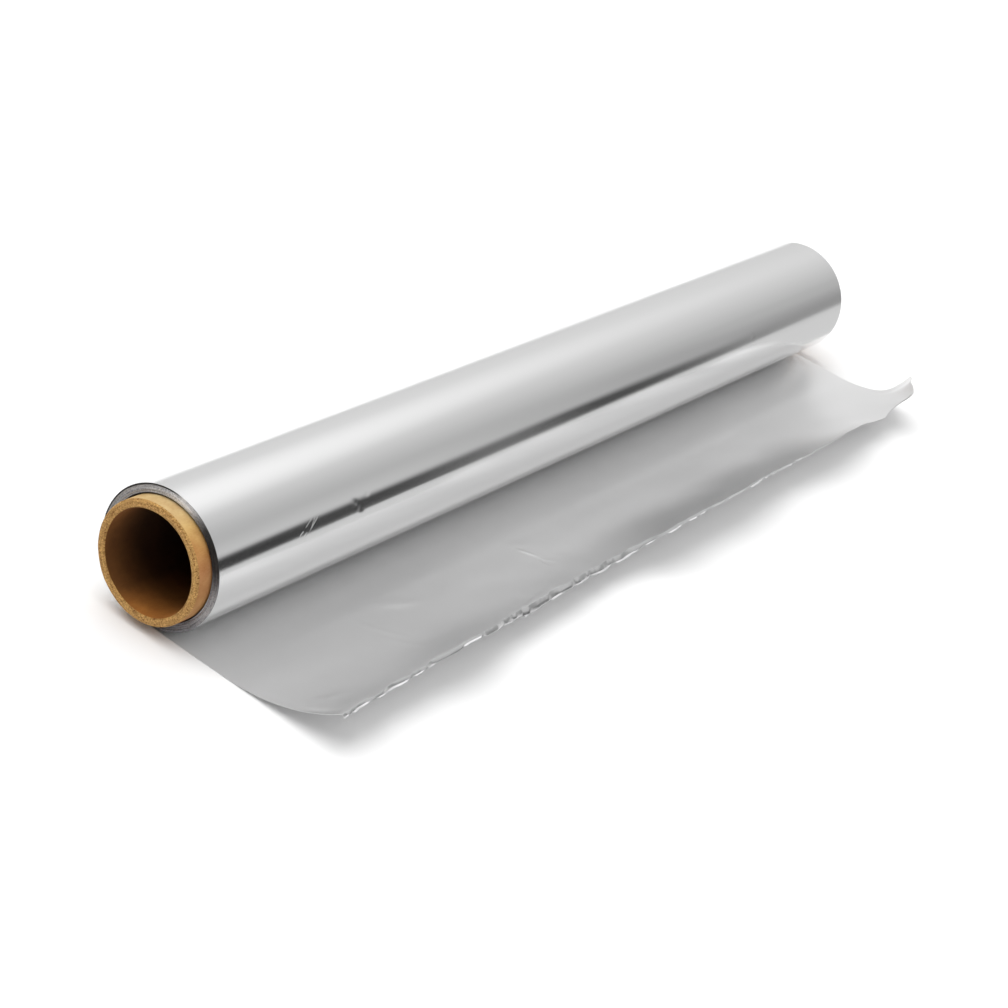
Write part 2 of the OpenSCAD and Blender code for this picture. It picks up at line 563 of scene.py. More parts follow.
@dataclass(frozen=True)
class MatteFoil:
    """Aluminium foil, the matte side: two foils were rolled together and this side faced in.

    The eye gets a soft satin. Light spreads further across the mill's lines than along them,
    and the surface has a faint grain and soft crinkles from handling. Where the sheet is drawn
    tight over its curl, before the middle of the tear, it is a little smoother and brighter.

    Attributes:
        pull: how much further light spreads across the lines.
        drawn_place: middle of the tight part along the roll.
        drawn_reach: distances from there at which it has gone and is full.
        drawn_out: distances out along the sheet at which it starts and is full.
        drawn_much: what it adds to the roughness, and drawn_metal to metallic.
    """

    name: str = "matte foil, pack rolled"
    colour: str = "#F5F5F5"
    metallic: float = 0.87
    roughness: float = 0.36
    roughness_spread: float = 0.06
    pull: float = 0.35
    line_width: float = 1.1
    line_length: float = 30.0
    grain: float = 0.35
    grain_height: float = 0.0008
    crinkle: float = 9.0
    crinkle_height: float = 0.04
    drawn_place: float = 28.0
    drawn_reach: Pair = (76.0, 38.0)
    drawn_out: Pair = (36.0, 46.0)
    drawn_much: float = -0.05
    drawn_metal: float = 0.12

    def build(self) -> Material:
        """Makes the material, on the piece's own UV map."""
        material, tree, uv = new_finish(self.name)
        lines = noise(tree, stretch(tree, uv, self.line_width, self.line_length))
        roughness = spread(tree, lines, self.roughness, self.roughness_spread)
        parts = add_node(tree, "ShaderNodeSeparateXYZ", None, {0: uv})
        aside = calc(tree, "SUBTRACT", parts.outputs["X"], self.drawn_place * MM)
        masks = [remap(tree, place, (reach[0] * MM, reach[1] * MM), soft=True)
                 for place, reach in ((calc(tree, "ABSOLUTE", aside), self.drawn_reach),
                                      (parts.outputs["Y"], self.drawn_out))]
        tight = calc(tree, "MULTIPLY", *masks)
        crinkles = bump(tree, noise(tree, uv, self.crinkle, roughness=0.45), self.crinkle_height)
        end_metal(tree, self.colour, {
            "Metallic": calc(tree, "MULTIPLY_ADD", tight, self.drawn_metal, self.metallic),
            "Roughness": calc(tree, "MULTIPLY_ADD", tight, self.drawn_much, roughness),
            "Anisotropic": self.pull,
            "Normal": bump(tree, noise(tree, uv, self.grain), self.grain_height, crinkles)})
        return material


@dataclass(frozen=True)
class FoilEdges:
    """The slit edges of all the turns, seen together at the roll's ends.

    The knife leaves each edge slightly burred, and the ring is finely lined round the core. The
    burrs' fine glints are painted highlights in the grain, and round the ring the grey is painted
    lighter and darker by angle, for painted reflections and shade. A turn is 0.015 mm, too fine to
    show, so the lines are drawn at the pitch that the picture can hold. Over the top of the rim the
    last turn's edge is painted as a dark line of shade, and the gap at the core is painted dark
    brown: board with painted shade.

    Attributes:
        light_and_shade: angles round the ring, each with its grey: painted reflections and shade.
        shade: what the lines' dark side keeps of that grey.
        rim_shade_angles: middle of the painted dark rim shade, and how far it reaches from there.
        edge_share: share of a width that is left where the rim or the gap is full.
        burr_share: how much the painted glints count beside the lines.
        grain_range: values of both together that are dark and bright.
    """

    # Painted reflections and shade by angle round the ring
    light_and_shade: Tones = (
        (0.0, "#9E9E9F"), (10.0, "#6A6A6C"), (20.0, "#3A3B3C"), (40.0, "#303132"),
        (52.0, "#46484A"), (62.0, "#9A9B9D"), (74.0, "#F4F4F6"), (84.0, "#FAFAFA"),
        (100.0, "#E4E4E6"), (120.0, "#B9B9BB"), (140.0, "#B1B1B3"), (160.0, "#AAAAAB"),
        (200.0, "#66676B"), (225.0, "#5A5B5E"), (268.0, "#66666A"), (292.0, "#848488"),
        (318.0, "#8A8A8E"), (340.0, "#BEBEC0"), (352.0, "#B6B6B8"), (360.0, "#9E9E9F"))
    shade: str = "#A0A1A5"
    # Dark brown of the gap at the core: board with painted shade
    gap: str = "#2A190D"
    gap_width: float = 0.42
    # Painted dark shade line along the top of the rim
    rim: str = "#0C0C0D"
    rim_shade_width: float = 0.42
    rim_shade_angles: Pair = (134.0, 56.0)
    edge_share: float = 0.7
    metallic: float = 0.15
    sheen: float = 0.2
    roughness: float = 0.45
    line_length: float = 9.0
    line_pitch: float = 0.16
    glint: float = 0.45
    burr_share: float = 0.6
    grain_range: Pair = (0.58, 0.98)
    relief: float = 0.05
    relief_strength: float = 0.9

    def build(self, bore_r: float, roll_r: float) -> Material:
        """Makes the material: u runs round the ring and v is the distance from the axis.

        Args:
            bore_r: radius at the inner edge of the ring.
            roll_r: radius at the rim.

        Returns:
            The material.
        """
        material, tree, uv = new_finish("foil edges, slit")
        rings = stretch(tree, uv, self.line_length, self.line_pitch)
        lines = noise(tree, rings, detail=3.0, roughness=0.7)
        burrs = noise(tree, uv, self.glint, detail=3.0, roughness=0.65)
        mixed = calc(tree, "MULTIPLY_ADD", burrs, self.burr_share, lines)
        grain = remap(tree, mixed, self.grain_range, soft=True)

        parts = add_node(tree, "ShaderNodeSeparateXYZ", None, {0: uv})
        turn = calc(tree, "DIVIDE", parts.outputs["X"], TURN * roll_r * MM)
        # Painted reflections and shade by angle, times the grain of grey lines and painted glints
        colour = mix(tree, 1.0, add_ramp(tree, turn, self.light_and_shade),
                     mix(tree, grain, srgb(self.shade), WHITE), "MULTIPLY")

        # Painted shade: a dark line along the top of the rim, and the dark gap at the core
        middle, reach = (angle / 360.0 for angle in self.rim_shade_angles)
        distance = calc(tree, "ABSOLUTE", calc(tree, "SUBTRACT", turn, middle))
        near = remap(tree, distance, (reach, self.edge_share * reach), soft=True)
        outside = remap(tree, parts.outputs["Y"], (
            (roll_r - self.rim_shade_width) * MM, (roll_r - self.edge_share * self.rim_shade_width) * MM))
        inside = remap(tree, parts.outputs["Y"], (
            (bore_r + self.gap_width) * MM, (bore_r + self.edge_share * self.gap_width) * MM))
        colour = mix(tree, calc(tree, "MULTIPLY", near, outside), colour, srgb(self.rim))
        colour = mix(tree, inside, colour, srgb(self.gap))
        end_material(tree, PRINCIPLED, {
            "Base Color": colour, "Metallic": self.metallic, "Roughness": self.roughness,
            "Specular IOR Level": self.sheen,
            "Normal": bump(tree, mixed, self.relief, strength=self.relief_strength)})
        return material


@dataclass(frozen=True)
class WoundBoard:
    """Kraft paperboard, spirally wound and glued: smooth, warm brown, with the ply's faint seam.

    The eye gets a matte surface with short fibres, slightly mottled, and a helical line where
    the plies meet. Its colour carries painted light and shade by angle round the core, and painted
    shade that darkens it deeper inside the tube.

    Attributes:
        light_and_shade: angles round the core, each with a grey that the colour is multiplied by:
        painted light and shade.
        middle: value of the mottles and fibres together half way between the colours.
        fibre_share: how much the fibres count beside the mottles.
        mouth: distance from the roll's middle past which the wall has no painted shade.
        painted_shade_from: distance from the middle up to which the painted shade holds the level
            painted_shade_level.
        seam_width: share of a turn over which the seam steps back.
    """

    name: str = "paperboard, spirally wound"
    light: str = "#DCC690"
    dark: str = "#BC9562"
    # Painted light and shade by angle round the core
    light_and_shade: Tones = (
        (0.0, "#DDB69E"), (20.0, "#EBC2B0"), (40.0, "#F4D0AD"), (60.0, "#FCE9CB"),
        (80.0, "#FFFFFF"), (105.0, "#FFFFFF"), (135.0, "#F4E8DC"), (180.0, "#E8D4C0"),
        (270.0, "#E0C8B8"), (320.0, "#E2C1AB"), (340.0, "#DFC0A8"), (360.0, "#DDB69E"))
    roughness: float = 0.82
    mottle: float = 5.0
    contrast: float = 0.7
    middle: float = 0.725
    fibre: float = 0.35
    fibre_stretch: float = 3.0
    fibre_share: float = 0.45
    fibre_relief: float = 0.02
    mouth: float = 154.3
    # Painted shade deep inside the tube, from this distance inwards
    painted_shade_from: float = 154.0
    painted_shade_level: float = 1.0
    seam_pitch: float = 62.0
    seam_width: float = 0.02
    seam_relief: float = 0.06

    def build(self, turn: float) -> Material:
        """Makes the material.

        Args:
            turn: length once round the wall, for the seam's slope.

        Returns:
            The material. u runs along the tube and v round it.
        """
        material, tree, uv = new_finish(self.name)
        mottle = noise(tree, uv, self.mottle, detail=5.0, roughness=0.62)
        fibres = stretch(tree, uv, self.fibre * self.fibre_stretch, self.fibre)
        fuzz = noise(tree, fibres, detail=4.0, roughness=0.7, distortion=0.5)
        blended = calc(tree, "MULTIPLY_ADD", fuzz, self.fibre_share, mottle)
        half = self.contrast / 2.0
        shade = remap(tree, blended, (self.middle - half, self.middle + half))

        parts = add_node(tree, "ShaderNodeSeparateXYZ", None, {0: uv})
        along = calc(tree, "DIVIDE", parts.outputs["X"], self.seam_pitch * MM)
        helix = calc(tree, "MULTIPLY_ADD", parts.outputs["Y"], 1.0 / (turn * MM), along)
        lap = remap(tree, calc(tree, "FRACT", helix), (0.0, self.seam_width), soft=True)
        # Painted shade, darker deeper inside the tube
        painted_shade = remap(tree, calc(tree, "ABSOLUTE", parts.outputs["X"]),
                     (self.painted_shade_from * MM, self.mouth * MM), (self.painted_shade_level, 1.0), soft=True)
        # Painted light and shade by angle round the core
        painted_light_by_angle = add_ramp(tree, calc(tree, "DIVIDE", parts.outputs["Y"], turn * MM), self.light_and_shade)
        colour = mix(tree, shade, srgb(self.dark), srgb(self.light))
        lit_colour = mix(tree, 1.0, colour, painted_light_by_angle, "MULTIPLY")
        shaded = add_node(tree, "ShaderNodeVectorMath", {"operation": "SCALE"}, {
            0: lit_colour, "Scale": painted_shade})
        seam = bump(tree, lap, self.seam_relief)
        end_material(tree, PRINCIPLED, {
            "Base Color": shaded.outputs[0], "Roughness": self.roughness, "IOR": BOARD_IOR,
            "Normal": bump(tree, fuzz, self.fibre_relief, seam)})
        return material


@dataclass(frozen=True)
class CutBoard:
    """The core's sawn end: torn fibres of the glued plies, rough and mottled.

    Attributes:
        ply_length: length of a ply's streaks round the ring, and ply their width.
        ply_share: how much the plies count beside the torn fibres.
        tone_range: values of both together that are dark and light.
    """

    light: str = "#E2B46C"
    dark: str = "#683A12"
    roughness: float = 0.9
    ply_length: float = 6.0
    ply: float = 0.5
    ply_share: float = 0.3
    fibre: float = 0.42
    tone_range: Pair = (0.45, 0.85)
    relief: float = 0.11

    def build(self) -> Material:
        """Makes the material: u runs round the ring and v is the distance from the axis."""
        material, tree, uv = new_finish("paperboard, sawn end")
        plies = stretch(tree, uv, self.ply_length, self.ply)
        layers = noise(tree, plies, roughness=0.6, distortion=0.4)
        torn = noise(tree, uv, self.fibre, detail=5.0, roughness=0.72, distortion=0.8)
        mixed = calc(tree, "MULTIPLY_ADD", layers, self.ply_share, torn)
        shade = remap(tree, mixed, self.tone_range)
        end_material(tree, PRINCIPLED, {
            "Base Color": mix(tree, shade, srgb(self.dark), srgb(self.light)),
            "Normal": bump(tree, mixed, self.relief), "Roughness": self.roughness,
            "IOR": BOARD_IOR})
        return material


@dataclass(frozen=True)
class Crease:
    """A small fold in a sheet of foil, between two places on its surface.

    Attributes:
        start: first end, in surface millimetres.
        end: other end, in surface millimetres.
        width: distance from its line at which it has nearly gone.
        height: its height, or its depth where that is negative.
    """

    start: Pair
    end: Pair
    width: float
    height: float

    def lift(self, u: Array, v: Array) -> Array:
        """Height that the crease adds: a bell across its line, tapering to nothing at its ends.

        The place is split into a distance along the line and one aside from it. The height is
        height * exp(-(aside / width)^2) * (1 - along'^2)^2, where along' runs from -1 to 1.

        Args:
            u: first surface coordinate.
            v: second surface coordinate.

        Returns:
            The added height at each place.
        """
        run = (self.end[0] - self.start[0], self.end[1] - self.start[1])
        length = math.hypot(*run)
        along = ((u - self.start[0]) * run[0] + (v - self.start[1]) * run[1]) / length
        aside = ((v - self.start[1]) * run[0] - (u - self.start[0]) * run[1]) / length
        centred = np.clip(2.0 * along / length - 1.0, -1.0, 1.0)
        return self.height * np.exp(-(aside / self.width) ** 2) * (1.0 - centred ** 2) ** 2


@dataclass
class WoundFoil:
    """All the turns of foil on the core: one closed ring with its two slit ends.

    phi is the angle round the roll from the front, -Y, up over the top.

    Attributes:
        flat_gap: height of the flat spot over the resting plane.
        end_inset: distance from the ends at which the wall's own rows start.
        end_depth: most that a band of edges lies behind the end.
        band_fade: how far the bands take to fade in at the core and out at the rim.
        band_join: share of a turn from which a band passes into the one that it started from.
        swells: unevenness of the winding, along the roll and round it.
    """

    width: float = 300.0
    bore_r: float = 14.75
    roll_r: float = 17.2
    floor_z: float = -17.1
    flat_gap: float = 0.01
    round_steps: int = 288
    pitch: float = 1.9
    ring_steps: int = 26
    end_depth: float = 0.22
    end_inset: float = 0.3
    rim_round: float = 0.1
    bands: Cloud = Cloud(21, per_turn=5, octaves=2)
    band_count: float = 11.0
    band_fade: Pair = (0.6, 0.1)
    band_join: float = 0.85
    gap_depth: float = 0.9
    gap_width: float = 0.36
    gap_uneven: Cloud = Cloud(5, per_turn=9, height=0.4)
    swells: tuple[Cloud, ...] = (
        Cloud(11, 75.0, per_turn=7, height=0.02), Cloud(12, 26.0, per_turn=15, height=0.006))
    creases: tuple[Crease, ...] = (
        Crease((-103.0, 10.6), (-98.0, 4.6), 0.75, -0.075),
        Crease((-101.6, 8.2), (-99.6, 6.8), 0.8, 0.05),
        Crease((-97.6, 10.2), (-95.6, 9.0), 0.6, -0.03),
        Crease((90.4, 6.2), (92.6, 8.6), 0.55, -0.05),
    )
    dense: tuple[Place, ...] = (
        (-105.0, -94.0, 0.4), (89.0, 94.0, 0.4), (-150.0, -149.0, 0.3), (149.0, 150.0, 0.3))

    def radius(self, x: Array, phi: Array) -> Array:
        """Outer radius: the roll's, plus a slow unevenness of the winding and the creases.

        Underneath it ends at the flat spot: the spot's depth under the axis divided by the
        cosine of the angle from straight down, which is held above REST_COSINE.

        Args:
            x: places along the roll, as a column.
            phi: angles round the roll in radians, as a row.

        Returns:
            A radius for each pair.
        """
        arc = (np.mod(phi + math.pi, TURN) - math.pi) * self.roll_r
        uneven = sum(swell.at(x, phi / TURN) for swell in self.swells)
        folds = sum(crease.lift(x, arc) for crease in self.creases)
        rest = -(self.floor_z + self.flat_gap) / np.maximum(-np.sin(phi), REST_COSINE)
        return np.minimum(self.roll_r + uneven + folds, rest)

    def end_dip(self, r_share: Array, phi: Array, end: End) -> Array:
        """Depth of the slit end behind the end of the roll.

        The edges of the turns gather in bands. Each band's depth is a seeded height, and the
        bands wind outwards as a spiral, because a turn is a spiral. Over the last share of a
        turn each band passes into the one it started from. Next to the core the first
        turns are drawn in, which leaves a dark gap, and the rim is slightly rounded.

        Args:
            r_share: 0 at the core and 1 at the rim, as a column.
            phi: angles round the roll in radians, as a row.
            end: which end.

        Returns:
            A depth for each pair, in millimetres.
        """
        turn = phi / TURN
        joined = smooth((turn - self.band_join) / (1.0 - self.band_join))
        bands = blend(*(self.bands.share(r_share * self.band_count + turn - lap, turn, end.value)
                        for lap in (0, 1)), joined)
        wall = self.roll_r - self.bore_r
        inwards = r_share * wall
        gap = 1.0 - smooth(inwards / (self.gap_width * (1.0 + self.gap_uneven.at(0.0, turn))))
        rim = 1.0 - smooth((wall - inwards) / self.rim_round)
        at_core, at_rim = self.band_fade
        inner = smooth(inwards / at_core) * smooth((wall - inwards) / at_rim)
        return self.end_depth * bands * inner + self.gap_depth * gap + self.rim_round * rim

    def build(self, bright: Material, edges: Material) -> bpy.types.Object:
        """Makes the piece: the outer wall, the two slit ends and the bore's wall."""
        phi = TURN * np.linspace(0.0, 1.0, self.round_steps + 1)[None, :]
        arc = (phi - TURN * (phi > math.pi)) * self.roll_r
        half = self.width / 2.0
        share = np.linspace(0.0, 1.0, self.ring_steps + 1)[:, None]
        rings = {end: end.value * (half - self.end_dip(share, phi, end)) for end in End}

        inner = stations(self.end_inset - half, half - self.end_inset, self.pitch, self.dense)
        rows = np.repeat(inner[:, None], phi.shape[1], axis=1)
        x = np.concatenate([rings[End.LEFT][-1:], rows, rings[End.RIGHT][-1:]])
        patches = [Patch(on_roll(x, self.radius(x, phi), phi), grid(x, arc), 0)]
        for end, ring_x in rings.items():
            ring_r = blend(self.bore_r, self.radius(ring_x[-1:], phi), share)
            ring_uv = grid(phi * self.roll_r, blend(self.bore_r, self.roll_r, share))
            patches.append(Patch(on_roll(ring_x, ring_r, phi), ring_uv, 1, end is End.RIGHT))
        bore_x = np.concatenate([rings[End.LEFT][:1], rings[End.RIGHT][:1]])
        patches.append(Patch(on_roll(bore_x, self.bore_r, phi), grid(bore_x, arc), 1, True))
        return make_piece("wound_foil", patches, [bright, edges], "foil")


@dataclass
class LooseSheet:
    """The last length of foil: flat on the floor, then curling up to its torn edge.

    The fields down to bulge_w are the part's own, apart from the thickness.

    Attributes:
        trims: places along the roll, each with a length added to the sheet there.
        flare_w: width of the flare across the lip at the two ends, of which flare_least is left
            between the flares.
        flares: stretches of the tear that flare out, as (from, to, how much).
        flare_cup: angle by which a flare is cupped, in degrees.
        valley_slopes: places along the roll, each with the slope there of the valley before the
            flare, in degrees.
        valleys: places along the roll, each with the valley's width.
        lip_power: how late the rows before the lip start to follow its unevenness.
        rows: row pitch near the roll, then where the curl's rows start and their pitch, then the
            pitch of the last share of the sheet, from rows_late on.
        wave_flat: share of the waves' height where the sheet lies flat, and wave_free the
            distance past there over which they grow to it all.
        fade: distance out at which waves and creases start, and over which they grow.
    """

    width: float = 300.0
    floor_z: float = -17.1
    thickness: float = 0.05
    sheet_left: float = 56.5
    sheet_right: float = 54.0
    flat_left: float = 24.5
    flat_right: float = 26.0
    curl_r_left: float = 54.0
    curl_r_right: float = 37.0
    curl_wave: float = 0.08
    corner_w: float = 13.7
    corner_len: float = 15.9
    corner_angle: float = 24.0
    tip_round: float = 2.6
    tip_w: float = 4.0
    hollow: float = 0.3
    hollow_in: float = 27.0
    hollow_w: float = 13.0
    tear_depth: float = 1.6
    bulge: float = 3.0
    bulge_in: float = 11.0
    bulge_w: float = 5.6
    trims: tuple[Pair, ...] = (
        (-150.0, 1.5), (-140.0, 1.5), (-130.0, 0.2), (-122.0, 0.9), (-114.0, 2.2), (-106.0, 3.4),
        (-98.0, 3.5), (-90.0, 3.3), (-82.0, 1.3), (-74.0, 1.6), (-66.0, 0.3), (-58.0, 0.5),
        (-50.0, 0.7), (-42.0, -1.1), (-34.0, -1.6), (-26.0, -1.3), (-18.0, 0.4), (-10.0, 2.6),
        (-2.0, 3.4), (8.0, 3.4), (20.0, 3.1), (32.0, 3.4), (44.0, 3.2), (56.0, 0.3), (68.0, 1.1),
        (80.0, 3.2), (92.0, 3.6), (104.0, 3.4), (114.0, 0.4), (124.0, 0.0), (150.0, 0.0))
    jags: Cloud = Cloud(31, 1.5, octaves=2, height=0.1)
    flare_w: Pair = (0.75, 1.0)
    flare_least: float = 0.4
    flare_uneven: Cloud = Cloud(32, 3.2, octaves=2, height=0.15)
    flare_crumple: Cloud = Cloud(34, 3.0, octaves=2, height=5.0)
    flare_cup: float = 6.0
    flare_rows: int = 4
    flare_fade: Pair = (1.0, 0.25)
    flares: tuple[Place, ...] = (
        (-151.0, -147.6, 0.9), (-147.0, -139.5, 1.0), (-138.4, -124.8, 1.0), (-124.0, -119.2, 0.9),
        (-118.6, -114.1, 0.95), (-106.7, -99.2, 1.0), (-87.0, -79.9, 0.75), (-76.8, -74.6, 0.95),
        (-64.1, -57.4, 0.8), (-52.9, -44.6, 0.72), (-44.0, -33.5, 0.75), (-32.2, -21.6, 0.72),
        (-19.8, -15.5, 0.75), (-13.2, -6.2, 0.75), (-4.7, -0.3, 0.85), (0.2, 5.0, 0.85),
        (8.7, 15.3, 0.5), (17.1, 25.6, 0.45), (28.4, 38.0, 0.8), (38.4, 40.0, 0.8),
        (41.8, 59.2, 0.65), (61.6, 66.4, 0.55))
    valley_slopes: tuple[Pair, ...] = ((-110.0, -61.0), (-60.0, -52.5), (20.0, -50.0))
    valley_wobble: Cloud = Cloud(36, 4.0)
    valley_uneven: Cloud = Cloud(33, 6.5, height=0.15)
    valley_least: float = 0.02
    valley_rows: int = 3
    lip_power: int = 30
    valleys: tuple[Pair, ...] = (
        (-150.0, 0.4), (-147.4, 0.6), (-125.7, 0.55), (-117.4, 0.6), (-113.5, 0.95),
        (-108.1, 0.95), (-105.2, 0.25), (-99.9, 0.25), (-96.8, 1.25), (-87.7, 1.3), (-80.9, 1.5),
        (-76.5, 1.8), (-65.0, 1.9), (-57.9, 1.6), (-33.5, 1.4), (-21.6, 1.1), (-16.4, 0.7),
        (1.2, 0.4), (35.4, 0.3), (64.6, 0.15), (72.8, 0.0))
    swell_lengths: tuple[float, ...] = (118.0, 47.0)
    tear_lengths: tuple[float, ...] = (190.0, 31.0, 13.7, 8.9)
    pitch: float = 0.6
    rows: tuple[float, float, float, float] = (1.5, 24.0, 0.85, 0.5)
    rows_late: float = 0.93
    wave: float = 0.22
    wave_flat: float = 0.3
    wave_free: float = 10.0
    waves: tuple[Cloud, ...] = (Cloud(41, 34.0, 21.0), Cloud(42, 13.0, 9.0, height=0.4))
    fade: Pair = (4.0, 16.0)
    dense: tuple[Place, ...] = (
        (-46.0, -34.0, 0.3), (-150.0, -143.0, 0.35), (142.0, 150.0, 0.35))
    creases: tuple[Crease, ...] = (
        Crease((-41.8, 28.2), (-40.2, 35.4), 0.6, 0.15),
        Crease((-40.5, 33.6), (-43.4, 42.6), 0.6, -0.13),
        Crease((-41.0, 36.0), (-40.0, 41.0), 0.5, 0.08),
        Crease((-43.5, 25.4), (-34.0, 30.9), 1.1, 0.06),
        Crease((-98.0, 23.5), (-82.0, 32.0), 1.6, 0.12),
        Crease((-106.2, 24.6), (-102.2, 43.0), 1.0, 0.11),
        Crease((-107.4, 33.0), (-105.0, 53.0), 1.2, 0.08),
        Crease((-149.6, 43.0), (-147.2, 57.5), 1.1, -0.16),
        Crease((-147.0, 44.0), (-133.0, 50.5), 1.4, 0.09),
        Crease((20.0, 36.0), (33.0, 45.5), 1.3, 0.05),
    )

    def along(self, x: Array) -> Array:
        """Place along the roll, 0 at the left end and 1 at the right end."""
        return x / self.width + 0.5

    def bell(self, x: Array, distance_in: float, half_w: float) -> Array:
        """Bell of height 1 at a distance from the right end, low again a half width away."""
        return np.exp(-((x - self.width / 2.0 + distance_in) / half_w) ** 2)

    def corner(self, x: Array) -> Array:
        """How much the turned-up corner counts, from 0 to 1."""
        return smooth((x - self.width / 2.0 + self.corner_w) / self.corner_w)

    def reach(self, x: Array) -> Array:
        """Length of the sheet: the two ends' lengths and the tear's wander, bulge and tip.

        The trims then follow the photographed tear where it strays from the part's own.
        """
        wander = self.tear_depth * ripple(x, self.tear_lengths)
        bulge = self.bulge * self.bell(x, self.bulge_in, self.bulge_w)
        tip = self.tip_round * smooth((x - self.width / 2.0 + self.tip_w) / self.tip_w)
        plain = blend(self.sheet_left, self.sheet_right, self.along(x))
        return plain + wander + bulge - tip + np.interp(x, *zip(*self.trims))

    def length(self, x: Array) -> Array:
        """The sheet's length with the tear's small jags."""
        return self.reach(x) + self.jags.at(x) * (1.0 - self.corner(x))

    def flat(self, x: Array) -> Array:
        """Length that lies flat before the curl."""
        return blend(self.flat_left, self.flat_right, self.along(x))

    def curl(self, x: Array) -> Array:
        """Curvature of the curl, opened in the hollow left of the corner."""
        even = blend(1.0 / self.curl_r_left, 1.0 / self.curl_r_right, self.along(x))
        swell = 1.0 + self.curl_wave * ripple(x, self.swell_lengths)
        return even * swell * (1.0 - self.hollow * self.bell(x, self.hollow_in, self.hollow_w))

    def flare(self, x: Array) -> Array:
        """How far the tear's last millimetre flares, from 0 to about 1, in separate stretches.

        A stretch fades over a millimetre at each end, or over a quarter of it if it is short.
        """
        total = np.zeros_like(x)
        most, share = self.flare_fade
        for start, end, much in self.flares:
            soft = min(most, share * (end - start))
            total = total + much * smooth((x - start) / soft) * smooth((end - x) / soft)
        return total

    def distances(self, x: Array, share: Array) -> Array:
        """Distances out along the sheet at which a column has its points.

        The given shares divide the sheet as far as its torn lip. A few rows follow across the
        lip's valley, whose width changes along the roll, and a few across its flare. Only the
        last rows before the lip follow its unevenness, by share^lip_power.

        Args:
            x: places along the roll, as a column.
            share: shares of the length before the lip, as a row.

        Returns:
            A distance in millimetres for each place and row.
        """
        places, widths = zip(*self.valleys)
        plain_valley = np.interp(x, places, widths)
        valley = np.maximum(self.valley_least, plain_valley * (1.0 + self.valley_uneven.at(x)))
        plain_flare = blend(*self.flare_w, self.along(x))
        flare = plain_flare * blend(self.flare_least, 1.0, self.flare(x))
        flare = flare * (1.0 + self.flare_uneven.at(x))
        start = self.length(x) - valley - flare
        plain = self.reach(x) - plain_valley - plain_flare
        before = share * plain + share ** self.lip_power * (start - plain)
        down = np.linspace(0.0, 1.0, self.valley_rows + 1)[None, 1:]
        out = np.linspace(0.0, 1.0, self.flare_rows + 1)[None, 1:]
        return np.concatenate([before, start + down * valley, start + valley + out * flare], axis=1)

    def slope(self, x: Array, s: Array) -> Array:
        """Angle of the sheet above the floor, in radians, at the middle of each step out.

        It is the sum of the curl, which grows evenly past the flat length, and the turned-up
        corner. In the last steps, across the torn lip, the sheet drops into a valley of its own
        slope and then flares out level in stretches, and between those keeps its slope.

        Args:
            x: places along the roll, as a column.
            s: distances out along the sheet at the middle of each step.

        Returns:
            An angle for each place and step.
        """
        to_edge = self.reach(x) - s
        corner = self.corner(x)
        turned = self.corner_angle * corner * smooth(1.5 * (1.0 - to_edge / self.corner_len))
        angle = np.degrees(np.maximum(0.0, s - self.flat(x)) * self.curl(x)) + turned

        torn = 1.0 - corner
        drop = angle[:, -self.valley_rows - self.flare_rows:-self.flare_rows]
        fall = np.interp(x, *zip(*self.valley_slopes)) + self.valley_wobble.at(x)
        drop += torn * (fall - drop)
        tips = angle[:, -self.flare_rows:]
        cup = self.flare_cup * np.linspace(-1.0, 1.0, self.flare_rows)[None, :]
        much = np.minimum(1.0, self.flare(x))
        tips += torn * (much * (cup - tips) + self.flare_crumple.at(x))
        return np.radians(angle)

    def lift(self, x: Array, s: Array) -> Array:
        """Small heights over the walked surface: slow waves and the creases.

        The waves fade in with the distance from the roll, and nothing reaches below the floor:
        the waves are moved up by their lowest value, and a crease is no deeper than they are high.
        """
        start, grow = self.fade
        free = smooth((s - self.flat(x)) / self.wave_free)
        slow = sum(cloud.at(x, s) + cloud.height for cloud in self.waves)
        waves = self.wave * blend(self.wave_flat, 1.0, free) * slow
        folds = sum(crease.lift(x, s) for crease in self.creases)
        return smooth((s - start) / grow) * (waves + np.maximum(folds, -waves))

    def surface(self, x: Array, share: Array) -> tuple[Array, Array, Array]:
        """Walks out along the sheet and gives its two faces.

        Each step goes forward by its length times the cosine of the slope at its middle, and up
        by its length times the sine. The small heights are added square to the surface.

        Args:
            x: places along the roll, as a column.
            share: shares of the length before the lip, as a row.

        Returns:
            Points of the lower face, points of the upper face, and the distances out.
        """
        s = self.distances(x, share)
        middle = (s[:, 1:] + s[:, :-1]) / 2.0
        steps = np.diff(s, axis=1)
        angle = self.slope(x, middle)
        start = np.zeros((len(x), 1))
        out, up = (np.concatenate([start, np.cumsum(steps * way(angle), axis=1)], axis=1)
                   for way in (np.cos, np.sin))
        between = (angle[:, 1:] + angle[:, :-1]) / 2.0
        turn = np.concatenate([angle[:, :1], between, angle[:, -1:]], axis=1)
        normal = grid(0.0, np.sin(turn), np.cos(turn))
        under = grid(x, -out, self.floor_z + up) + normal * self.lift(x, s)[..., None]
        return under, under + normal * self.thickness, s

